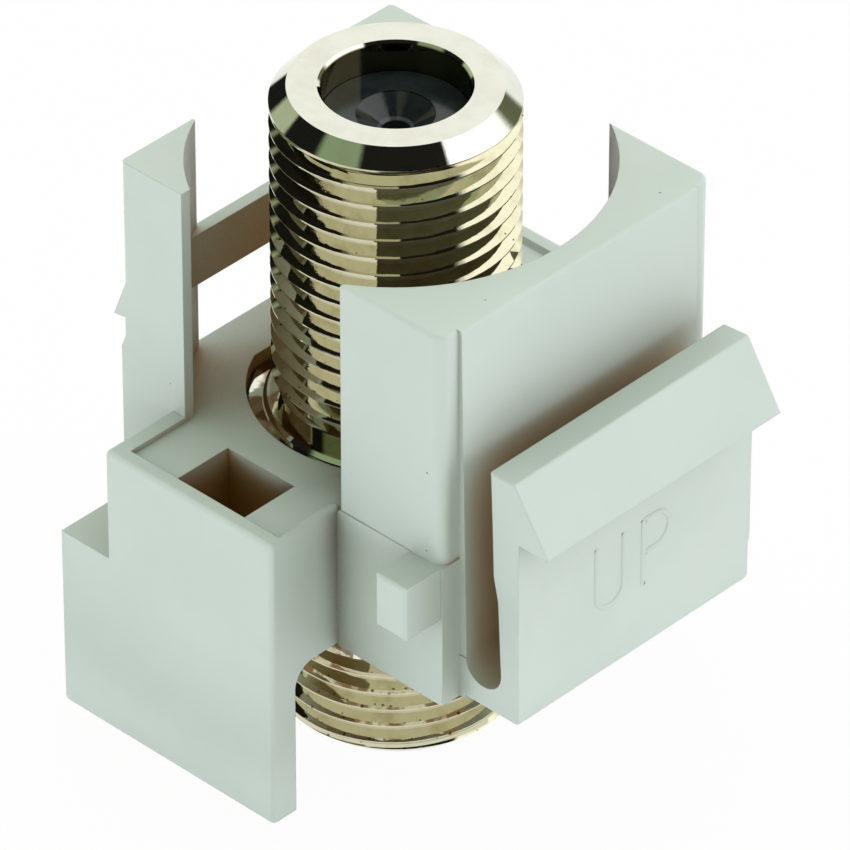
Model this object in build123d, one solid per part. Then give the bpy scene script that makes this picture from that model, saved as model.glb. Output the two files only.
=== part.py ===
from build123d import *
import math
import os

# Keystone F connector insert. Millimetres, +Z out of the wall plate's front, +X towards the latch.
# The origin is on the barrel's axis, at the level of the housing's floor.

os.makedirs("parts", exist_ok=True)

# Barrel: 3/8-32 thread at both ends, drawn at its crest diameter
thread_diameter = 9.525
barrel_top = 13.63
barrel_bottom = -14.57
front_chamfer = 0.66
rear_chamfer = 0.42
neck_radius = 4.3
neck_length = 0.9
collar_top = -0.5
collar_width = 0.3175
collar_chamfer = 0.15
flange_drop = 0.25
flange_thickness = 1.4
bore_radius = 2.82
seat_radius = 2.2
seat_length = 1.2
mouth_chamfer = 0.12

# Insulators and centre contact
insulator_recess = 1.33
insulator_clearance = 0.02
countersink_radius = 1.5
countersink_depth = 0.7
lip_hole_radius = 0.55
lip_thickness = 0.4
contact_radius = 0.85
contact_bore_radius = 0.5
contact_clearance = 0.05
contact_end_gap = 0.12
contact_slot_width = 0.25
contact_slot_length = 4.0
contact_collar_radius = 1.6

# Nut behind the housing
nut_wall = 0.7875
nut_thickness = 2.2
nut_corner_cut = 0.15
nut_clearance = 0.03

# Main body of the housing
body_half_width = 7.28
body_front = -7.43
body_back = 9.33
body_depth = 6.53
floor_drop = 0.2
top_height = 10.3
flange_width = 0.9175
key_width = 0.3875
hole_clearance = 0.05
passage_clearance = 0.1375

# Corner posts, and the bar with the fixed catch between them
post_face = -7.27
post_edge = -4.08
post_bore_radius = 7.94
post_gap_half = 3.47
post_corner_radius = 0.2
band_top = 1.71
groove_bottom = 2.29
groove_face = -7.2
fixed_catch_ledge = 3.12
fixed_catch_lip = -7.82
fixed_catch_drop = 0.1
fixed_catch_top = 4.44
bar_thickness = 0.55
bar_top = 5.43

# Wall on the latch side, and the pad that stands proud of it
wall_edge = 4.16
wall_bore_radius = 8.36
wall_corner_radius = 0.5
wall_top_radius = 0.18
pad_half_width = 6.37
pad_top_stand = 0.13
pad_root_stand = 0.42
lower_step = 0.04
lower_front = 3.98
lower_back_step = 0.09
lower_top = -0.1

# Side wings with their pockets, rims and skirts
wing_front = -4.7
wing_half_span = 10.85
wing_depth = 6.4
wing_edge_radius = 0.2
pocket_half_length = 1.76
pocket_inner = 7.32
pocket_outer = 10.02
pocket_depth = 5.0
rim_front_width = 0.64
rim_side_width = 0.65
rim_slope_width = 0.3
skirt_front = -7.27
skirt_thickness = 1.21
skirt_bottom = -13.15
lug_top = -5.06
skirt_corner_radius = 0.2
skirt_root_radius = 1.0

# Pegs on the two sides of the wall
peg_width = 1.55
peg_setback = 0.03
peg_reach = 1.87
peg_bottom = -2.5
peg_edge_radius = 0.15

# Latch foot and lever
slot_radius = 0.91
slot_centre_height = -4.53
lever_half_width = 6.4
lever_root_thickness = 0.86
lever_step_lean = 0.17
lever_step_height = -1.1
lever_waist_lean = 0.4
lever_waist_height = 0.0
lever_top_lean = 0.62
lever_top = 4.69
catch_root_setback = 0.27
catch_reach = 1.55
catch_ledge = 2.09
lever_edge_radius = 0.12
foot_edge_radius = 0.35
root_gap = 0.1

# How far a cutting solid reaches past the surface it cuts
cut_margin = 1.0

# Values that follow from the ones above
thread_radius = thread_diameter / 2
collar_radius = thread_radius + collar_width
flange_radius = thread_radius + flange_width
flange_flat = thread_radius + key_width
hole_radius = flange_radius + hole_clearance
hole_flat = flange_flat + hole_clearance
passage_radius = thread_radius + passage_clearance
nut_across_flats = thread_diameter + 2 * nut_wall
floor_level = -floor_drop
lower_back = body_back + lower_back_step
flange_top = collar_top - flange_drop
flange_bottom = flange_top - flange_thickness
pad_root = body_back + pad_root_stand
slot_centre = pad_root + slot_radius
lever_root_face = slot_centre + slot_radius
lever_step_face = lever_root_face - lever_step_lean
lever_waist_face = lever_root_face - lever_waist_lean
lever_top_face = lever_root_face - lever_top_lean
lever_back = lever_root_face + lever_root_thickness
catch_root = lever_back - catch_root_setback
catch_lip = lever_back + catch_reach
peg_back = body_back - peg_setback
peg_front = peg_back - peg_width
seat_middle = flange_bottom - seat_length / 2
root_top = slot_centre_height + root_gap / 2
root_bottom = slot_centre_height - root_gap / 2
nut_seat = -body_depth
catch_lip_height = fixed_catch_ledge - fixed_catch_drop


def prism_along_y(points, half_width):
    """A side profile of X, Z points, carried evenly to both sides of the middle plane."""
    outline = Polyline(*[(x, 0, z) for x, z in points], close=True)
    return extrude(make_face(outline), half_width, dir=(0, 1, 0), both=True)


def block(x_low, x_high, y_low, y_high, z_low, z_high):
    """A rectangular block between its limits."""
    middle = Pos((x_low + x_high) / 2, (y_low + y_high) / 2, (z_low + z_high) / 2)
    return middle * Box(x_high - x_low, y_high - y_low, z_high - z_low)


def column(radius, z_low, z_high):
    """A cylinder on the barrel's axis between two heights."""
    return Pos(0, 0, (z_low + z_high) / 2) * Cylinder(radius, z_high - z_low)


def turned(points):
    """A solid of revolution about the barrel's axis from radius, height points."""
    outline = Polyline(*[(r, 0, z) for r, z in points], close=True)
    return revolve(make_face(outline), Axis.Z, 360)


def both_sides(solid):
    """The solid and its mirror image on the other side of the middle plane."""
    return solid + mirror(solid, Plane.XZ)


def edges_along(solid, axis, x=None, y=None, z=None, tolerance=0.02):
    """The solid's straight edges along one axis whose middle lies at the given places."""
    found = []
    for edge in solid.edges().filter_by(axis):
        middle = edge.position_at(0.5)
        places = ((x, middle.X), (y, middle.Y), (z, middle.Z))
        if all(place is None or abs(place - value) < tolerance for place, value in places):
            found.append(edge)
    return found


def level_edges(solid, height, tolerance=0.001):
    """The solid's edges that lie flat at one height."""
    return [
        edge
        for edge in solid.edges()
        if all(abs(edge.position_at(share).Z - height) < tolerance for share in (0, 0.5, 1))
    ]


def keyed_disc(radius, flat, z_low, z_high):
    """A disc with one flat, which keys the barrel in its hole."""
    disc = column(radius, z_low, z_high)
    return disc - block(-2 * radius, -flat, -radius, radius, z_low, z_high)


def wall_and_posts():
    """The full-width side profile: base band, groove, fixed catch, posts and latch wall."""
    profile = [
        (body_front, -body_depth),
        (body_back, -body_depth),
        (body_back, top_height),
        (wall_edge, top_height),
        (wall_edge, floor_level),
        (post_edge, floor_level),
        (post_edge, top_height),
        (post_face, top_height),
        (post_face, fixed_catch_top),
        (fixed_catch_lip, catch_lip_height),
        (groove_face, fixed_catch_ledge),
        (groove_face, groove_bottom),
        (body_front, band_top),
    ]
    return prism_along_y(profile, body_half_width)


def plug_space():
    """The round space in which a plug's nut turns, a little wider on the latch side."""
    above = top_height + cut_margin
    back_half = block(0, wall_bore_radius, -wall_bore_radius, wall_bore_radius, floor_level, above)
    front_half = block(-post_bore_radius, 0, -post_bore_radius, post_bore_radius, floor_level, above)
    post_side = column(post_bore_radius, floor_level, above) & front_half
    wall_side = column(wall_bore_radius, floor_level, above) & back_half
    return post_side + wall_side


def post_gap():
    """The gap between the two posts, over the bar's height and under it."""
    front = body_front - cut_margin
    above = top_height + cut_margin
    return block(front, post_edge, -post_gap_half, post_gap_half, floor_level, above)


def catch_bar():
    """The bar between the posts, with the fixed catch on its outer face."""
    profile = [
        (post_face + bar_thickness, fixed_catch_ledge),
        (post_face + bar_thickness, bar_top),
        (post_face, bar_top),
        (post_face, fixed_catch_top),
        (fixed_catch_lip, catch_lip_height),
        (groove_face, fixed_catch_ledge),
    ]
    bar_reach = math.sqrt(post_bore_radius ** 2 - (post_face + bar_thickness) ** 2)
    return prism_along_y(profile, bar_reach + bar_thickness)


def wall_rim(core):
    """The outer edges of the latch wall's top face, round its two corners."""
    inside_corner = body_half_width - wall_corner_radius
    rim = []
    for edge in level_edges(core, top_height):
        middle = edge.position_at(0.5)
        outside = middle.X > body_back - wall_corner_radius or abs(middle.Y) > inside_corner
        if outside and middle.X > wall_edge + wall_corner_radius:
            rim.append(edge)
    return rim


def rounded_core():
    """Posts, wall and block in one, with the upright corners and top edges rounded."""
    core = wall_and_posts() - plug_space() - post_gap() + catch_bar()
    corners = []
    for side in (-1, 1):
        corners += edges_along(core, Axis.Z, x=body_back, y=side * body_half_width)
    core = fillet(corners, wall_corner_radius)
    posts = []
    for side in (-1, 1):
        posts += [
            edge
            for edge in edges_along(core, Axis.Z, x=post_face, y=side * body_half_width)
            if edge.center().Z > fixed_catch_top
        ]
    core = fillet(posts, post_corner_radius)
    return fillet(wall_rim(core), wall_top_radius)


def lower_block():
    """The sharp-cornered block under the wall, a hair wider than the wall itself."""
    half_width = body_half_width + lower_step
    solid = block(lower_front, lower_back, -half_width, half_width, -body_depth, lower_top)
    return solid - plug_space()


def latch_pad():
    """The middle of the wall's outer face, which stands proud with a little draft."""
    profile = [
        (body_back - wall_corner_radius, -body_depth),
        (pad_root, -body_depth),
        (pad_root, slot_centre_height),
        (body_back + pad_top_stand, top_height),
        (body_back - wall_corner_radius, top_height),
    ]
    pad = prism_along_y(profile, pad_half_width)
    top_edge = edges_along(pad, Axis.Y, x=body_back + pad_top_stand, z=top_height)
    return fillet(top_edge, pad_top_stand)


def latch_foot():
    """The foot under the lever: the turn of the U that ends at the lever's root."""
    foot = block(body_back, lever_back, -lever_half_width, lever_half_width, -body_depth, root_bottom)
    uprights = edges_along(foot, Axis.Z, x=lever_back)
    foot = fillet(uprights, lever_edge_radius)
    bottom = level_edges(foot, -body_depth)
    outer = [edge for edge in bottom if edge.position_at(0.5).X > lever_back - 2 * lever_edge_radius]
    return fillet(outer, foot_edge_radius)


def latch_slot():
    """The round-bottomed slot between the wall's pad and the lever."""
    reach = lever_half_width + cut_margin
    across = Rot(90, 0, 0) * Cylinder(slot_radius, 2 * reach)
    round_end = Pos(slot_centre, 0, slot_centre_height) * across
    above = slot_centre_height + slot_radius
    return round_end + block(pad_root, lever_root_face, -reach, reach, slot_centre_height, above)


def wing_recess():
    """The shallow recess inside a wing's rim, level with the main floor, sloped at two sides."""
    rim_front = wing_front + rim_front_width
    rim_back = lower_front - wing_edge_radius
    rim_side = wing_half_span - rim_side_width
    inside = body_half_width - cut_margin
    along = [
        (rim_front, floor_level),
        (rim_back - rim_slope_width, floor_level),
        (rim_back + rim_slope_width, floor_drop),
        (rim_front, floor_drop),
    ]
    across = [
        (-inside, floor_level),
        (-pocket_outer, floor_level),
        (pocket_outer - 2 * rim_side, floor_drop),
        (-inside, floor_drop),
    ]
    outline = Polyline(*[(0, y, z) for y, z in across], close=True)
    return prism_along_y(along, wing_half_span) & extrude(make_face(outline), wing_half_span, both=True)


def wing():
    """One side wing: slab, front lug, blind pocket, raised rim, and the skirt down the rear."""
    inner = body_half_width - lower_step
    skirt_inner = wing_half_span - skirt_thickness
    solid = block(wing_front, lower_front, -wing_half_span, -inner, -wing_depth, 0)
    solid += block(skirt_front, lower_front, -wing_half_span, -inner, -wing_depth, lug_top)
    solid += block(skirt_front, lower_front, -wing_half_span, -skirt_inner, skirt_bottom, lug_top)
    rounded = edges_along(solid, Axis.X, y=-wing_half_span, z=0)
    rounded += edges_along(solid, Axis.Y, x=lower_front, z=0)
    rounded += edges_along(solid, Axis.Z, x=lower_front, y=-wing_half_span)
    solid = fillet(rounded, wing_edge_radius)
    solid = fillet(edges_along(solid, Axis.Y, x=skirt_front, z=skirt_bottom), skirt_corner_radius)
    solid = fillet(edges_along(solid, Axis.X, y=-skirt_inner, z=-wing_depth), skirt_root_radius)
    pocket = block(
        -pocket_half_length, pocket_half_length, -pocket_outer, -pocket_inner, -pocket_depth, cut_margin
    )
    return solid - wing_recess() - pocket


def peg():
    """The square peg on one side of the wall's lower block."""
    reach = body_half_width + lower_step + peg_reach
    solid = block(peg_front, peg_back, -reach, -body_half_width, peg_bottom, lower_top)
    return fillet(solid.faces().sort_by(Axis.Y)[0].edges(), peg_edge_radius)


def make_housing():
    """The whole moulding except the lever."""
    solid = rounded_core() + lower_block() + latch_pad() + latch_foot()
    solid -= latch_slot()
    solid += both_sides(wing()) + both_sides(peg())
    solid -= keyed_disc(hole_radius, hole_flat, flange_bottom, cut_margin)
    solid -= column(passage_radius, -body_depth - cut_margin, 0)
    return solid


def make_latch_lever():
    """The sprung lever above its root, with the catch wedge at its tip."""
    profile = [
        (lever_root_face, root_top),
        (lever_back, root_top),
        (lever_back, catch_ledge),
        (catch_lip, catch_ledge),
        (catch_root, lever_top),
        (lever_top_face, lever_top),
        (lever_waist_face, lever_waist_height),
        (lever_step_face, lever_step_height),
    ]
    lever = prism_along_y(profile, lever_half_width)
    rounded = [
        edge
        for edge in lever.edges()
        if edge.position_at(0.5).X > lever_top_face + lever_edge_radius
        and edge.position_at(0.5).Z > root_top + lever_edge_radius
    ]
    return fillet(rounded, lever_edge_radius)


def make_barrel_shell():
    """The turned shell: two threads, neck, keyed flange, through bore and middle seat."""
    neck_top = collar_top + neck_length
    outside = turned([
        (0, barrel_bottom),
        (thread_radius - rear_chamfer, barrel_bottom),
        (thread_radius, barrel_bottom + rear_chamfer),
        (thread_radius, flange_bottom),
        (collar_radius, flange_bottom),
        (collar_radius, collar_top - collar_chamfer),
        (collar_radius - collar_chamfer, collar_top),
        (neck_radius, collar_top),
        (neck_radius, neck_top - (thread_radius - neck_radius)),
        (thread_radius, neck_top),
        (thread_radius, barrel_top - front_chamfer),
        (thread_radius - front_chamfer, barrel_top),
        (0, barrel_top),
    ])
    flange = keyed_disc(flange_radius, flange_flat, flange_bottom, flange_top)
    through = column(seat_radius, barrel_bottom, barrel_top)
    front_bore = column(bore_radius, seat_middle + seat_length / 2, barrel_top)
    rear_bore = column(bore_radius, barrel_bottom, seat_middle - seat_length / 2)
    shell = outside + flange - through - front_bore - rear_bore
    mouths = []
    for height in (barrel_top, barrel_bottom):
        mouths += [
            edge
            for edge in shell.edges().filter_by(GeomType.CIRCLE)
            if abs(edge.radius - bore_radius) < 0.01 and abs(edge.arc_center.Z - height) < 0.01
        ]
    return chamfer(mouths, mouth_chamfer)


def insulator(mouth_height, seat_height, sense):
    """An insulating sleeve from the seat to its countersunk mouth; sense is +1 at the front."""
    outer = bore_radius - insulator_clearance
    inner = contact_radius + contact_clearance
    sink = mouth_height - sense * countersink_depth
    lip = sink - sense * lip_thickness
    return turned([
        (inner, seat_height),
        (outer, seat_height),
        (outer, mouth_height),
        (countersink_radius, mouth_height),
        (lip_hole_radius, sink),
        (lip_hole_radius, lip),
        (inner, lip),
    ])


def make_insulators():
    """The front and rear sleeves, each against its side of the shell's middle seat."""
    front = insulator(barrel_top - insulator_recess, seat_middle + seat_length / 2, 1)
    rear = insulator(barrel_bottom + insulator_recess, seat_middle - seat_length / 2, -1)
    return front, rear


def make_centre_contact():
    """The slit tube that grips the centre conductor at both ends, with its middle collar."""
    lip_depth = insulator_recess + countersink_depth + lip_thickness + contact_end_gap
    top = barrel_top - lip_depth
    bottom = barrel_bottom + lip_depth
    tube = column(contact_radius, bottom, top)
    tube += column(contact_collar_radius, seat_middle - seat_length / 2, seat_middle + seat_length / 2)
    tube -= column(contact_bore_radius, seat_middle + contact_bore_radius, top)
    tube -= column(contact_bore_radius, bottom, seat_middle - contact_bore_radius)
    reach = 2 * contact_radius
    for slit in ((reach, contact_slot_width / 2), (contact_slot_width / 2, reach)):
        across, along = slit
        tube -= block(-across, across, -along, along, top - contact_slot_length, top)
        tube -= block(-across, across, -along, along, bottom, bottom + contact_slot_length)
    return tube


def make_rear_nut():
    """The thin hexagon nut against the housing's underside."""
    hexagon = RegularPolygon(nut_across_flats / 2, 6, major_radius=False)
    blank = Pos(0, 0, nut_seat - nut_thickness) * extrude(hexagon, nut_thickness)
    corners = column(nut_across_flats / math.sqrt(3) - nut_corner_cut, nut_seat - nut_thickness, nut_seat)
    return (blank & corners) - column(thread_radius + nut_clearance, nut_seat - nut_thickness, nut_seat)


front_insulator, rear_insulator = make_insulators()
pieces = {
    "housing": make_housing(),
    "latch_lever": make_latch_lever(),
    "barrel_shell": make_barrel_shell(),
    "rear_nut": make_rear_nut(),
    "front_insulator": front_insulator,
    "rear_insulator": rear_insulator,
    "centre_contact": make_centre_contact(),
}

for name, solid in pieces.items():
    export_step(solid, f"parts/{name}.step")
    print(name, round(solid.volume, 1), "mm3")
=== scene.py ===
import bmesh
import bpy
import math
from mathutils import Matrix, Vector, noise


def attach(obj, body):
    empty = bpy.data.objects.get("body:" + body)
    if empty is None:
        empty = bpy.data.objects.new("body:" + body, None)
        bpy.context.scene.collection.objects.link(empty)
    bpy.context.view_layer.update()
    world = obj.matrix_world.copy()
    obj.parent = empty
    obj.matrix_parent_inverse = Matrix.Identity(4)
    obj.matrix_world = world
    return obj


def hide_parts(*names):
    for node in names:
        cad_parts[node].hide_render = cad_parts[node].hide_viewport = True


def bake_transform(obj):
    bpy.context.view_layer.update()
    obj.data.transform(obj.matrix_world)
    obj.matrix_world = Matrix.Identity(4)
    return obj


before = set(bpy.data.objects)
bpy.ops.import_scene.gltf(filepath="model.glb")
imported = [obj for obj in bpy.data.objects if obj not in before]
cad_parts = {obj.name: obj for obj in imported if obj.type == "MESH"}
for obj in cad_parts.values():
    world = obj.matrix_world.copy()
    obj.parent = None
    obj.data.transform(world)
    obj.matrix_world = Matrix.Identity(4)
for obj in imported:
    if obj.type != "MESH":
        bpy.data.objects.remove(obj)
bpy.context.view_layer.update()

# Sizes in millimetres. They repeat the part's own values, apart from the lever's lip, the radius of its
# edges and the lifts of its far upper corners, which stand a little higher than the near ones
MM = 0.001

thread_radius = 4.7625
thread_pitch = 25.4 / 32
barrel_top = 13.63
barrel_bottom = -14.57
front_chamfer = 0.66
rear_chamfer = 0.42
neck_radius = 4.3
neck_top = -0.0625
collar_radius = 5.08
collar_top = -0.5
collar_chamfer = 0.15
flange_radius = 5.68
flange_flat = 5.15
flange_top = -0.75
flange_bottom = -2.15
flange_edge = 0.07
bore_radius = 2.82
seat_radius = 2.2
seat_high = -2.15
seat_low = -3.35
mouth_chamfer = 0.12
rear_thread_top = -7.0

lever_half_width = 6.4
lever_root_face = 11.57
lever_back = 12.43
lever_step_face = 11.4
lever_step_height = -1.1
lever_waist_face = 11.17
lever_top_face = 10.95
lever_top = 4.69
catch_root = 12.16
far_ridge_lift = 0.18
far_top_lift = 0.08
catch_lip = 13.902
catch_ledge = 2.09
lever_edge_radius = 0.08
root_low = -4.58
root_bend_end = -3.5
bend_levels = 10

letter_half_width = 0.13
letter_height = 0.045
letter_crest = 0.35
letter_sunk = 0.03

# The camera, solved from the photograph
camera_azimuth = math.radians(-46.2)
camera_elevation = math.radians(36.442)
camera_position = (204.55, -211.73, 215.24)
camera_lens = 406.2
camera_sensor = 36

# Shades of the moulded plastic: its own two, a painted shade, a painted edge highlight, warm brown
# painted shade for recesses, the slot and the scoop, and dust
plastic_dark = (0.628, 0.712, 0.678)
plastic_light = (0.652, 0.735, 0.702)
plastic_shaded = (0.500, 0.560, 0.515)
plastic_edge_highlight = (0.76, 0.82, 0.76)
recess_shade_brown = (0.37, 0.19, 0.045)
slot_shade_brown = (0.46, 0.34, 0.20)
scoop_shade_brown = (0.085, 0.045, 0.020)
dust_brown = (0.10, 0.09, 0.07)

# Shades of the nickel plate, among them painted shade for the bore and for patches on the flange
nickel_light = (0.86, 0.865, 0.78)
nickel_dull = (0.80, 0.795, 0.70)
groove_light = (0.64, 0.615, 0.45)
groove_dull = (0.54, 0.505, 0.34)
bore_shade_brown = (0.30, 0.26, 0.14)
flange_shade_brown = (0.30, 0.20, 0.11)
pit_brown = (0.05, 0.035, 0.02)

# Shades of the insulators, among them a painted lip highlight and a painted groove shade, then of the
# contact and the floor
insulator_dark = (0.012, 0.018, 0.020)
insulator_light = (0.028, 0.038, 0.042)
insulator_lip_highlight = (0.075, 0.100, 0.110)
insulator_groove_shade = (0.002, 0.003, 0.003)
crumb_pale = (0.55, 0.60, 0.60)
contact_bright = (0.66, 0.36, 0.19)
contact_tarnished = (0.42, 0.21, 0.11)
white = (1, 1, 1)
floor_shade = (0.88, 0.89, 0.88)

# The floor: half its width, and how much of what is seen of it glows white
floor_half_width = 90
floor_glow = 0.96


def node(tree, kind, inputs=(), **settings):
    """Adds a shader node, sets its options and its unlinked inputs, and returns it."""
    made = tree.nodes.new(kind)
    for name, value in settings.items():
        setattr(made, name, value)
    for key, value in dict(inputs).items():
        if isinstance(value, bpy.types.NodeSocket):
            tree.links.new(value, made.inputs[key])
        else:
            made.inputs[key].default_value = value
    return made


def math_node(tree, operation, a, b=0.0, c=0.0, clamp=False):
    """A Math node on sockets or numbers, and its result."""
    made = node(tree, "ShaderNodeMath", {0: a, 1: b, 2: c}, operation=operation, use_clamp=clamp)
    return made.outputs[0]


def product(tree, a, b):
    """One socket or number times another."""
    return math_node(tree, "MULTIPLY", a, b)


def smooth_step(tree, value, low, high):
    """Zero below low, one above high and a smooth rise between them."""
    inputs = {"Value": value, "From Min": low, "From Max": high}
    return node(tree, "ShaderNodeMapRange", inputs, interpolation_type="SMOOTHSTEP").outputs[0]


def spread(tree, value, low, high):
    """A value from zero to one, laid out between two others."""
    inputs = {"Value": value, "To Min": low, "To Max": high}
    return node(tree, "ShaderNodeMapRange", inputs).outputs[0]


def window(tree, value, low, high, soft):
    """One between two limits and zero outside them, with soft edges."""
    rise = smooth_step(tree, value, low - soft, low + soft)
    fall = smooth_step(tree, value, high + soft, high - soft)
    return product(tree, rise, fall)


def mix_colour(tree, share, under, over):
    """One colour over another by a share. A colour is a socket or red, green and blue."""
    inputs = {0: share, 6: under, 7: over}
    inputs = {key: (*value, 1) if isinstance(value, tuple) else value for key, value in inputs.items()}
    return node(tree, "ShaderNodeMix", inputs, data_type="RGBA").outputs[2]


def noise_of(tree, place, size, detail=3.0):
    """Noise with features of about one size, in millimetres."""
    inputs = {"Vector": place, "Scale": 1 / (size * MM), "Detail": detail, "Roughness": 0.55}
    return node(tree, "ShaderNodeTexNoise", inputs).outputs["Fac"]


def radius_of(tree, parts):
    """Distance from the barrel's axis, from a place's separate coordinates."""
    squares = [product(tree, parts.outputs[k], parts.outputs[k]) for k in (0, 1)]
    return math_node(tree, "SQRT", math_node(tree, "ADD", *squares))


def new_material(name):
    """A material with an empty node tree, its Principled shader and the place in the object."""
    made = bpy.data.materials.new(name)
    made.use_nodes = True
    tree = made.node_tree
    tree.nodes.clear()
    shader = node(tree, "ShaderNodeBsdfPrincipled")
    out = node(tree, "ShaderNodeOutputMaterial")
    tree.links.new(shader.outputs[0], out.inputs[0])
    place = node(tree, "ShaderNodeTexCoord").outputs["Object"]
    return made, tree, shader, place


def bump(tree, shader, height, distance, normal=None):
    """Bump of a given depth in millimetres, over the shape's own normal or a given one."""
    made = node(tree, "ShaderNodeBump", {"Height": height, "Distance": distance * MM})
    if normal is not None:
        tree.links.new(normal, made.inputs["Normal"])
    tree.links.new(made.outputs[0], shader.inputs["Normal"])


def specks(tree, place, spacing, radius, kept):
    """Scattered dots: one where a random cell is kept, with a given radius in millimetres."""
    inputs = {"Vector": place, "Scale": 1 / (spacing * MM)}
    cells = node(tree, "ShaderNodeTexVoronoi", inputs)
    size = radius / spacing
    near = smooth_step(tree, cells.outputs["Distance"], 1.25 * size, 0.6 * size)
    chance = node(tree, "ShaderNodeSeparateColor", {0: cells.outputs["Color"]}).outputs[0]
    return product(tree, near, math_node(tree, "LESS_THAN", chance, kept))


def housing_material():
    """Moulded off-white plastic, faintly green, with soft variation and dust, painted shade in corners,
    warm brown painted shade in recesses, the slot and the wall's scoop, and painted highlights on edges.
    """
    made, tree, shader, place = new_material("housing_plastic")
    parts = node(tree, "ShaderNodeSeparateXYZ", {0: place})
    x, z = parts.outputs[0], parts.outputs[2]
    broad = smooth_step(tree, noise_of(tree, place, 6.0), 0.35, 0.65)
    colour = mix_colour(tree, broad, plastic_dark, plastic_light)
    # Painted shade: darker where ambient occlusion finds surfaces close around, faded out below about
    # -8.5 mm
    reach = {"Distance": 9 * MM}
    open_share = node(tree, "ShaderNodeAmbientOcclusion", reach, samples=8).outputs["AO"]
    shaded = product(tree, smooth_step(tree, open_share, 0.98, 0.62),
                     smooth_step(tree, z, -12.5 * MM, -8.5 * MM))
    colour = mix_colour(tree, shaded, colour, plastic_shaded)
    # Warm brown painted shade in deep recesses, a lighter brown towards the lever's slot
    recess_shade = mix_colour(tree, smooth_step(tree, x, 8 * MM, 9 * MM), recess_shade_brown, slot_shade_brown)
    colour = mix_colour(tree, smooth_step(tree, open_share, 0.50, 0.18), colour, recess_shade)
    # Dark brown painted shade on the wall's scoop that faces the barrel, where it is closed in
    scoop_shade = product(tree, smooth_step(tree, x, 0, 3 * MM),
                    smooth_step(tree, radius_of(tree, parts), 9.5 * MM, 8.0 * MM))
    scoop_shade = product(tree, smooth_step(tree, open_share, 0.68, 0.36), scoop_shade)
    colour = mix_colour(tree, scoop_shade, colour, scoop_shade_brown)
    dust = specks(tree, place, spacing=1.7, radius=0.05, kept=0.16)
    colour = mix_colour(tree, product(tree, dust, 0.75), colour, dust_brown)

    # Edges look rounded and catch the light through the shading normal, and a painted highlight lightens
    # their colour; neither crosses the slit at the lever's root
    edge_radius = 0.07
    across_slit = window(tree, z, (root_low - 0.1) * MM, (root_low + 0.1) * MM, 0.01 * MM)
    at_lever = math_node(tree, "GREATER_THAN", x, (lever_root_face - 0.1) * MM)
    slit = product(tree, across_slit, at_lever)
    reach = math_node(tree, "MULTIPLY_ADD", slit, -edge_radius * MM, edge_radius * MM)
    rounded = node(tree, "ShaderNodeBevel", {"Radius": reach}, samples=4).outputs[0]
    flat = node(tree, "ShaderNodeNewGeometry").outputs["Normal"]
    agreement = node(tree, "ShaderNodeVectorMath", {0: rounded, 1: flat}, operation="DOT_PRODUCT")
    edge_highlight = product(tree, smooth_step(tree, agreement.outputs["Value"], 0.995, 0.92),
                     smooth_step(tree, open_share, 0.75, 0.92))
    colour = mix_colour(tree, product(tree, edge_highlight, 0.7), colour, plastic_edge_highlight)
    tree.links.new(colour, shader.inputs["Base Color"])

    grain = noise_of(tree, place, 0.06, 2.0)
    sink = noise_of(tree, place, 1.6, 1.0)
    height = math_node(tree, "MULTIPLY_ADD", grain, 0.12, sink)
    bump(tree, shader, height, 0.012, normal=rounded)
    rough = spread(tree, smooth_step(tree, noise_of(tree, place, 0.9), 0.2, 0.8), 0.36, 0.50)
    tree.links.new(rough, shader.inputs["Roughness"])
    shader.inputs["IOR"].default_value = 1.5
    return made


def nickel_material():
    """Nickel plate: pale on crests and faces, warmer in the thread's grooves, with small pits, painted
    shade inside the bore and in patches on the flange.
    """
    made, tree, shader, place = new_material("nickel")
    parts = node(tree, "ShaderNodeSeparateXYZ", {0: place})
    z = parts.outputs[2]
    radial = radius_of(tree, parts)
    low = thread_radius - thread_depth
    high = (thread_radius + 0.05) * MM
    mottle = smooth_step(tree, noise_of(tree, place, 1.1, 4.0), 0.35, 0.70)
    colour = mix_colour(tree, mottle, nickel_light, nickel_dull)
    below_mouth = math_node(tree, "LESS_THAN", z, front_mouth * MM)
    flank = product(tree, window(tree, radial, (low - 0.02) * MM, high, 0.015 * MM), below_mouth)
    patches = smooth_step(tree, noise_of(tree, place, 0.8), 0.45, 0.75)
    colour = mix_colour(tree, flank, colour, mix_colour(tree, patches, groove_light, groove_dull))
    # Painted shade: darker and browner inside the bore
    inside = smooth_step(tree, radial, (bore_radius + 0.05) * MM, (bore_radius + 0.01) * MM)
    colour = mix_colour(tree, inside, colour, bore_shade_brown)
    # Painted shade in patches on the flange, down in the housing's hole
    flange_shade = smooth_step(tree, noise_of(tree, place, 1.6), 0.60, 0.48)
    outside = smooth_step(tree, radial, (collar_radius + 0.01) * MM, (collar_radius + 0.05) * MM)
    colour = mix_colour(tree, product(tree, outside, flange_shade), colour, flange_shade_brown)
    crest = window(tree, radial, (thread_radius - 0.12) * MM, high, 0.02 * MM)
    rear = smooth_step(tree, z, -6 * MM, -7 * MM)
    small_pits = specks(tree, place, spacing=0.30, radius=0.055, kept=0.22)
    rear_pits = product(tree, rear, specks(tree, place, spacing=0.34, radius=0.075, kept=0.45))
    pits = product(tree, crest, math_node(tree, "ADD", small_pits, rear_pits, clamp=True))
    colour = mix_colour(tree, product(tree, pits, 0.85), colour, pit_brown)
    tree.links.new(colour, shader.inputs["Base Color"])
    shader.inputs["Metallic"].default_value = 1.0
    rough = spread(tree, smooth_step(tree, noise_of(tree, place, 0.25), 0.3, 0.8), 0.02, 0.07)
    tree.links.new(rough, shader.inputs["Roughness"])
    bump(tree, shader, noise_of(tree, place, 0.15, 2.0), 0.0008)
    return made


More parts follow.
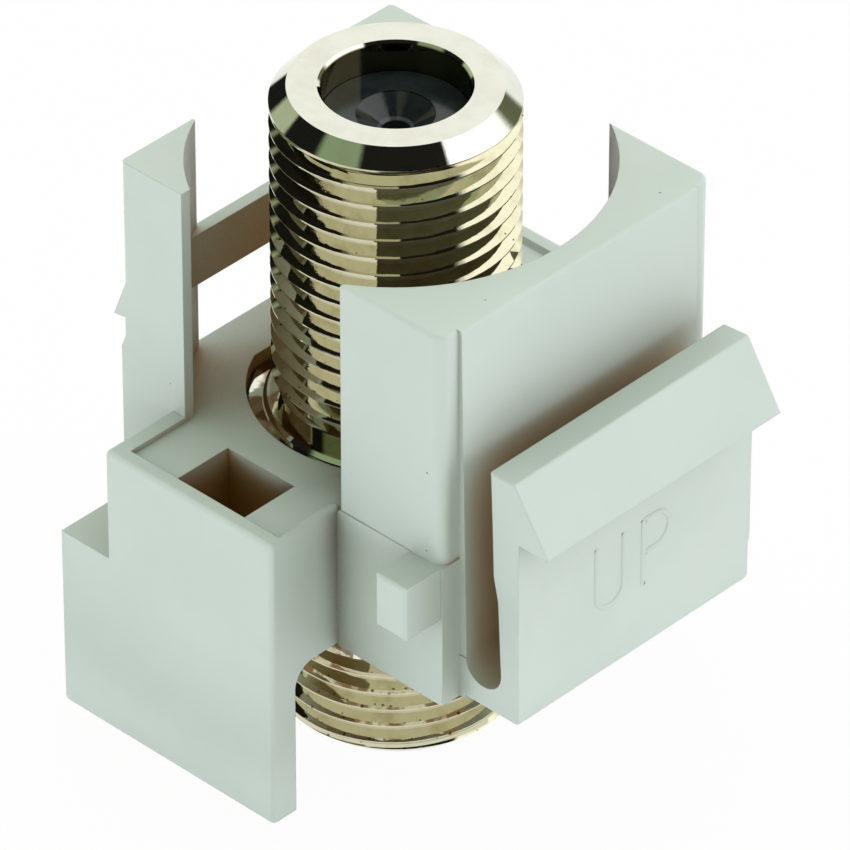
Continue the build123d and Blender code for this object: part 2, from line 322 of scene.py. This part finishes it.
def insulator_material():
    """Dark grey-blue plastic with a soft gloss, a painted highlight on the lip round the hole, a painted
    groove shade and pale crumbs.
    """
    made, tree, shader, place = new_material("insulator_plastic")
    cloud = smooth_step(tree, noise_of(tree, place, 1.2), 0.3, 0.7)
    colour = mix_colour(tree, cloud, insulator_dark, insulator_light)
    radial = radius_of(tree, node(tree, "ShaderNodeSeparateXYZ", {0: place}))
    # Painted highlight on the lip round the hole
    lip_highlight = window(tree, radial, 0.56 * MM, 0.68 * MM, 0.03 * MM)
    colour = mix_colour(tree, lip_highlight, colour, insulator_lip_highlight)
    # A dark ring painted as the shade of a thin groove round the dish
    groove_shade = window(tree, radial, 1.47 * MM, 1.53 * MM, 0.02 * MM)
    colour = mix_colour(tree, groove_shade, colour, insulator_groove_shade)
    crumbs = specks(tree, place, spacing=0.9, radius=0.05, kept=0.10)
    colour = mix_colour(tree, crumbs, colour, crumb_pale)
    tree.links.new(colour, shader.inputs["Base Color"])
    shader.inputs["Roughness"].default_value = 0.15
    bump(tree, shader, noise_of(tree, place, 0.15, 2.0), 0.003)
    return made


def contact_material():
    """Bright copper alloy, a little uneven."""
    made, tree, shader, place = new_material("contact_alloy")
    tarnish = smooth_step(tree, noise_of(tree, place, 0.5), 0.4, 0.8)
    colour = mix_colour(tree, tarnish, contact_bright, contact_tarnished)
    tree.links.new(colour, shader.inputs["Base Color"])
    shader.inputs["Metallic"].default_value = 1.0
    shader.inputs["Roughness"].default_value = 0.3
    bump(tree, shader, noise_of(tree, place, 0.1, 2.0), 0.003)
    return made


def mesh_object(name, bm, material, smooth_angle):
    """Turns a bmesh in millimetres into a scene object in metres, smooth up to an angle."""
    bmesh.ops.recalc_face_normals(bm, faces=bm.faces)
    bmesh.ops.scale(bm, vec=(MM, MM, MM), verts=bm.verts)
    mesh = bpy.data.meshes.new(name)
    bm.to_mesh(mesh)
    bm.free()
    mesh.shade_smooth()
    mesh.set_sharp_from_angle(angle=math.radians(smooth_angle))
    mesh.materials.append(material)
    made = bpy.data.objects.new(name, mesh)
    bpy.context.scene.collection.objects.link(made)
    return made


# The thread: its form, with the slope of its flanks in degrees, its mouths and the wear of its crests
crest_width = 0.055
thread_depth = 0.46
flank_tilt = 60
flank_steps = 4
barrel_columns = 192
front_mouth = barrel_top - front_chamfer
rear_mouth = barrel_bottom + rear_chamfer
thread_run_in = 0.5
wear_depth = 0.02
wear_reach = 0.1
nicks_across = 22


def one_pitch():
    """The thread's form from the crest's lower edge upward, as height and depth under the crest."""
    rise = thread_depth / math.tan(math.radians(flank_tilt))
    points = [(0.0, 0.0), (crest_width / 2, 0.0)]
    for k in range(flank_steps + 1):
        share = k / flank_steps
        points.append((crest_width + rise * share, thread_depth * share))
    for k in range(flank_steps):
        share = 1 - k / flank_steps
        points.append((thread_pitch - rise * share, thread_depth * share))
    return points


thread_form = one_pitch()


def turned_sheet(bm, points_at):
    """A closed skin round the axis; points_at gives one column's radius, height points."""
    columns = []
    for i in range(barrel_columns):
        angle = 2 * math.pi * i / barrel_columns
        across = Vector((math.cos(angle), math.sin(angle), 0))
        columns.append([bm.verts.new(across * r + Vector((0, 0, z))) for r, z in points_at(angle)])
    for i, column in enumerate(columns):
        following = columns[(i + 1) % barrel_columns]
        for j in range(len(column) - 1):
            bm.faces.new((column[j], following[j], following[j + 1], column[j + 1]))


def thread_sheet(bm, low, high, mouth, limit):
    """A right-hand helical skin between two heights, cut in from its mouth; limit caps the radius."""
    steps = len(thread_form)
    turns = math.ceil((high - low) / thread_pitch) + 2
    start = low - 1.5 * thread_pitch
    columns = []
    for i in range(barrel_columns):
        share = i / barrel_columns
        angle = 2 * math.pi * share
        column = []
        for j in range(turns * steps + steps // 2):
            rise, depth = thread_form[j % steps]
            z = start + rise + thread_pitch * (j // steps + share)
            z = min(max(z, low), high)
            spot = Vector((math.cos(angle), math.sin(angle), z / thread_radius))
            nick = noise.noise(spot * nicks_across)
            worn = wear_depth * max(0.0, nick) * max(0.0, 1 - depth / wear_reach)
            depth *= min(1.0, abs(mouth - z) / thread_run_in)
            r = min(thread_radius - depth - worn, limit(z))
            if z in (low, high):
                r = limit(z)
            column.append(bm.verts.new((r * math.cos(angle), r * math.sin(angle), z)))
        columns.append(column)
    for i, column in enumerate(columns):
        last = i == barrel_columns - 1
        following = columns[0][steps:] if last else columns[i + 1]
        for j in range(min(len(column), len(following)) - 1):
            bm.faces.new((column[j], following[j], following[j + 1], column[j + 1]))


def front_limit(z):
    """The front thread's largest radius, with its run-out at the neck."""
    return min(thread_radius, neck_radius + max(0.0, z - neck_top))


def rear_limit(z):
    """The rear thread's largest radius."""
    return min(thread_radius, neck_radius + max(0.0, rear_thread_top - z))


def barrel_middle(angle):
    """Neck, collar, keyed flange and plain shank, from the front thread to the rear one."""
    flange = flange_radius
    if math.cos(angle) < -flange_flat / flange_radius:
        flange = -flange_flat / math.cos(angle)
    return [
        (neck_radius, neck_top),
        (neck_radius, collar_top),
        (collar_radius - collar_chamfer, collar_top),
        (collar_radius, collar_top - collar_chamfer),
        (collar_radius, flange_top),
        (flange - flange_edge, flange_top),
        (flange, flange_top - flange_edge),
        (flange, flange_bottom),
        (thread_radius, flange_bottom),
        (thread_radius, rear_thread_top),
        (neck_radius, rear_thread_top),
    ]


def barrel_inside(angle):
    """Rims, bores and the seat between the two insulators."""
    return [
        (thread_radius, front_mouth),
        (thread_radius - front_chamfer, barrel_top),
        (bore_radius + mouth_chamfer, barrel_top),
        (bore_radius, barrel_top - mouth_chamfer),
        (bore_radius, seat_high),
        (seat_radius, seat_high),
        (seat_radius, seat_low),
        (bore_radius, seat_low),
        (bore_radius, barrel_bottom + mouth_chamfer),
        (bore_radius + mouth_chamfer, barrel_bottom),
        (thread_radius - rear_chamfer, barrel_bottom),
        (thread_radius, rear_mouth),
    ]


def make_barrel(material):
    """The plated barrel with its real helical threads."""
    bm = bmesh.new()
    turned_sheet(bm, barrel_inside)
    turned_sheet(bm, barrel_middle)
    thread_sheet(bm, neck_top, front_mouth, front_mouth, front_limit)
    thread_sheet(bm, rear_mouth, rear_thread_top, rear_mouth, rear_limit)
    bmesh.ops.remove_doubles(bm, verts=bm.verts, dist=0.0004)
    bmesh.ops.dissolve_degenerate(bm, edges=bm.edges, dist=0.0002)
    made = mesh_object("threaded_barrel", bm, material, 30)
    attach(made, "insert")
    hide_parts("barrel_shell")


def make_lever(material):
    """The sprung lever, sliced into levels at its root out of the foot, where the real one bends."""
    profile = [
        (lever_root_face, root_low),
        (lever_back, root_low),
        (lever_back, catch_ledge),
        (catch_lip, catch_ledge),
        (catch_root, lever_top),
        (lever_top_face, lever_top),
        (lever_waist_face, 0),
        (lever_step_face, lever_step_height),
    ]
    bm = bmesh.new()
    near = [bm.verts.new((x, -lever_half_width, z)) for x, z in profile]
    far = [bm.verts.new((x, lever_half_width, z)) for x, z in profile]
    far[4].co.z += far_ridge_lift
    far[5].co.z += far_top_lift
    bm.faces.new(near)
    bm.faces.new(far)
    for i in range(len(profile)):
        j = (i + 1) % len(profile)
        bm.faces.new((near[i], near[j], far[j], far[i]))
    rounded = []
    for edge in bm.edges:
        middle = (edge.verts[0].co + edge.verts[1].co) / 2
        above_ledge = middle.z > catch_ledge + lever_edge_radius
        outside = middle.x > lever_top_face + lever_edge_radius
        if above_ledge and outside or middle.x > catch_lip - lever_edge_radius:
            rounded.append(edge)
    bmesh.ops.bevel(bm, geom=rounded, offset=lever_edge_radius, segments=4, profile=0.5,
                    affect="EDGES", clamp_overlap=True)
    for k in range(1, bend_levels + 1):
        height = root_low + (root_bend_end - root_low) * k / bend_levels
        geometry = bm.verts[:] + bm.edges[:] + bm.faces[:]
        bmesh.ops.bisect_plane(bm, geom=geometry, plane_co=(0, 0, height), plane_no=(0, 0, 1))
    made = mesh_object("sprung_lever", bm, material, 5)
    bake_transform(made)
    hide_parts("latch_lever")


def arc(centre, radius, start, end, steps=10):
    """Points of an arc on the lever's face, as Y, Z."""
    points = []
    for k in range(steps + 1):
        angle = math.radians(start + (end - start) * k / steps)
        points.append((centre[0] + radius * math.cos(angle), centre[1] + radius * math.sin(angle)))
    return points


def stroke(bm, points):
    """A low raised ridge along a line of Y, Z points on the lever's outer face."""
    line = [Vector((0, y, z)) for y, z in points]
    rings = []
    for k, point in enumerate(line):
        ahead = line[min(k + 1, len(line) - 1)] - line[max(k - 1, 0)]
        side = ahead.normalized().cross(Vector((1, 0, 0)))
        end = ahead.normalized() * letter_half_width * 0.5 * ((k == len(line) - 1) - (k == 0))
        low = lever_back - letter_sunk
        high = lever_back + letter_height * (k not in (0, len(line) - 1))
        shape = ((-1.0, low), (-1.0, lever_back), (-letter_crest, high),
                 (letter_crest, high), (1.0, lever_back), (1.0, low))
        ring = [point + end + side * share * letter_half_width + Vector((x, 0, 0)) for share, x in shape]
        rings.append([bm.verts.new(place) for place in ring])
    for first, second in zip(rings, rings[1:]):
        for j in range(len(first)):
            k = (j + 1) % len(first)
            bm.faces.new((first[j], first[k], second[k], second[j]))
    bm.faces.new(rings[0])
    bm.faces.new(rings[-1])


def make_letters(material):
    """The word UP in low raised strokes, which tells which way the insert goes in."""
    top = -0.45
    bottom = -3.42
    taper = 0.1
    bm = bmesh.new()

    left = -2.15
    u_radius = 0.74
    right = left + 2 * u_radius
    stroke(bm, [(left, top), (left, top - taper), (left, bottom + u_radius)]
           + arc((left + u_radius, bottom + u_radius), u_radius, 180, 360)[1:]
           + [(right, top - taper), (right, top)])

    stem = 0.41
    bowl_start = stem + 0.12
    bowl_centre = stem + 0.66
    p_radius = 0.76
    bowl_low = top - 2 * p_radius
    stroke(bm, [(stem, bottom), (stem, bottom + taper), (stem, top - taper), (stem, top)])
    stroke(bm, [(bowl_start, top), (bowl_start + taper, top), (bowl_centre, top)]
           + arc((bowl_centre, top - p_radius), p_radius, 90, -90)[1:]
           + [(bowl_start + taper, bowl_low), (bowl_start, bowl_low)])
    made = mesh_object("raised_letters", bm, material, 30)
    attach(made, "latch")


def direction_of(azimuth, elevation):
    """A unit vector from an azimuth counted from the camera's own and an elevation, in degrees."""
    a = camera_azimuth + math.radians(azimuth)
    e = math.radians(elevation)
    return Vector((math.cos(e) * math.cos(a), math.cos(e) * math.sin(a), math.sin(e)))


# Panels of the sky: azimuth from the camera's own, elevation and softness in degrees, and colour.
# First the studio that shiny faces see, with dark flags and pale soft boxes
studio_base = (0.95, 0.97, 0.95)
studio_panels = [
    ((-180, 180), (24, 95), 4, (0.012, 0.011, 0.009)),
    ((-155, -62), (-22, 40), 2, (0.010, 0.010, 0.009)),
    ((-143, -112), (9, 24), 2, (0.42, 0.48, 0.32)),
    ((-80, -40), (36, 56), 4, (0.24, 0.32, 0.18)),
    ((-115, -8), (67, 88), 3, (0.50, 0.49, 0.34)),
    ((56, 152), (22, 65), 3, (1.5, 1.5, 1.45)),
    ((114, 140), (5, 20), 3, (0.13, 0.14, 0.08)),
    ((152, 205), (18, 54), 4, (1.0, 1.0, 0.96)),
    ((140, 220), (66, 86), 4, (0.80, 0.80, 0.75)),
]

# Then the softer light that falls on everything else
light_base = (0.88, 1.00, 0.80)
light_panels = [
    ((-180, 180), (-60, 20), 5, (1.42, 1.44, 1.41)),
    ((50, 120), (-60, 20), 8, (2.00, 1.95, 1.92)),
    ((120, 240), (-60, 20), 8, (0.68, 0.64, 0.50)),
    ((-120, -50), (-60, 20), 8, (2.30, 2.26, 2.55)),
    ((-50, 50), (20, 55), 8, (0.10, 0.10, 0.09)),
    ((50, 120), (20, 55), 8, (1.22, 1.20, 1.32)),
    ((120, 240), (20, 55), 8, (1.50, 1.47, 1.40)),
    ((-120, -50), (20, 55), 8, (0.50, 0.55, 0.42)),
    ((-180, 180), (-95, -2), 2, (0.97, 1.00, 0.95)),
]


def painted_sky(tree, azimuth, elevation, colour, panels):
    """A sky of one colour with panels laid over it in turn."""
    for (left, right), (low, high), soft, shade in panels:
        across = window(tree, azimuth, left, right, soft)
        if right > 180:
            wrapped = window(tree, azimuth, left - 360, right - 360, soft)
            across = math_node(tree, "MAXIMUM", across, wrapped)
        if right - left == 360:
            across = 1.0
        share = product(tree, window(tree, elevation, low, high, soft), across)
        colour = mix_colour(tree, share, colour, shade)
    return colour


def make_world():
    """White behind the object, soft light on it, and the studio in what is shiny."""
    world = bpy.data.worlds.new("studio")
    bpy.context.scene.world = world
    world.use_nodes = True
    tree = world.node_tree
    tree.nodes.clear()
    way = node(tree, "ShaderNodeTexCoord").outputs["Generated"]
    turn = {"Vector": way, "Axis": (0, 0, 1), "Angle": -camera_azimuth}
    turned = node(tree, "ShaderNodeVectorRotate", turn, rotation_type="AXIS_ANGLE").outputs[0]
    parts = node(tree, "ShaderNodeSeparateXYZ", {0: turned})
    azimuth = math_node(tree, "ARCTAN2", parts.outputs[1], parts.outputs[0])
    azimuth = product(tree, azimuth, math.degrees(1))
    elevation = product(tree, math_node(tree, "ARCSINE", parts.outputs[2]), math.degrees(1))
    studio = painted_sky(tree, azimuth, elevation, studio_base, studio_panels)
    daylight = painted_sky(tree, azimuth, elevation, light_base, light_panels)
    path = node(tree, "ShaderNodeLightPath")
    shown = mix_colour(tree, path.outputs["Is Glossy Ray"], daylight, studio)
    seen = path.outputs["Is Camera Ray"]
    seen = math_node(tree, "MAXIMUM", seen, path.outputs["Is Transmission Ray"])
    shown = mix_colour(tree, seen, shown, white)
    lit = node(tree, "ShaderNodeBackground", {"Color": shown, "Strength": 1.0})
    out = node(tree, "ShaderNodeOutputWorld")
    tree.links.new(lit.outputs[0], out.inputs[0])


def make_floor():
    """A plain pale floor that shows white and keeps a faint shadow."""
    bm = bmesh.new()
    bmesh.ops.create_grid(bm, x_segments=1, y_segments=1, size=floor_half_width)
    bmesh.ops.translate(bm, verts=bm.verts, vec=(0, 0, barrel_bottom))
    made = bpy.data.materials.new("floor_white")
    made.use_nodes = True
    tree = made.node_tree
    tree.nodes.clear()
    paint = node(tree, "ShaderNodeBsdfDiffuse", {"Color": (*floor_shade, 1)})
    glow = node(tree, "ShaderNodeEmission", {"Color": (*white, 1), "Strength": 1.0})
    path = node(tree, "ShaderNodeLightPath")
    seen = path.outputs["Is Camera Ray"]
    for other in ("Is Glossy Ray", "Is Transmission Ray"):
        seen = math_node(tree, "MAXIMUM", seen, path.outputs[other])
    share = product(tree, seen, floor_glow)
    both = node(tree, "ShaderNodeMixShader", {0: share, 1: paint.outputs[0], 2: glow.outputs[0]})
    out = node(tree, "ShaderNodeOutputMaterial")
    tree.links.new(both.outputs[0], out.inputs[0])
    floor = mesh_object("floor", bm, made, 30)


def make_camera():
    """The camera at the place solved from the photograph."""
    data = bpy.data.cameras.new("camera")
    data.lens = camera_lens
    data.sensor_width = camera_sensor
    data.clip_start = 0.01
    data.clip_end = 10
    camera = bpy.data.objects.new("camera", data)
    back = direction_of(0, math.degrees(camera_elevation))
    right = Vector((-math.sin(camera_azimuth), math.cos(camera_azimuth), 0))
    up = back.cross(right)
    turn = Matrix((right, up, back)).transposed().to_4x4()
    camera.matrix_world = Matrix.Translation(Vector(camera_position) * MM) @ turn
    bpy.context.scene.collection.objects.link(camera)
    bpy.context.scene.camera = camera


def dress(node_name, material):
    """Gives a kept CAD node its material."""
    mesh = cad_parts[node_name].data
    mesh.materials.clear()
    mesh.materials.append(material)


plastic = housing_material()
nickel = nickel_material()
insulator = insulator_material()
dress("housing", plastic)
dress("rear_nut", nickel)
dress("front_insulator", insulator)
dress("rear_insulator", insulator)
dress("centre_contact", contact_material())
make_barrel(nickel)
make_lever(plastic)
make_letters(plastic)
make_floor()
make_world()
make_camera()
bpy.context.scene.view_settings.view_transform = "Standard"
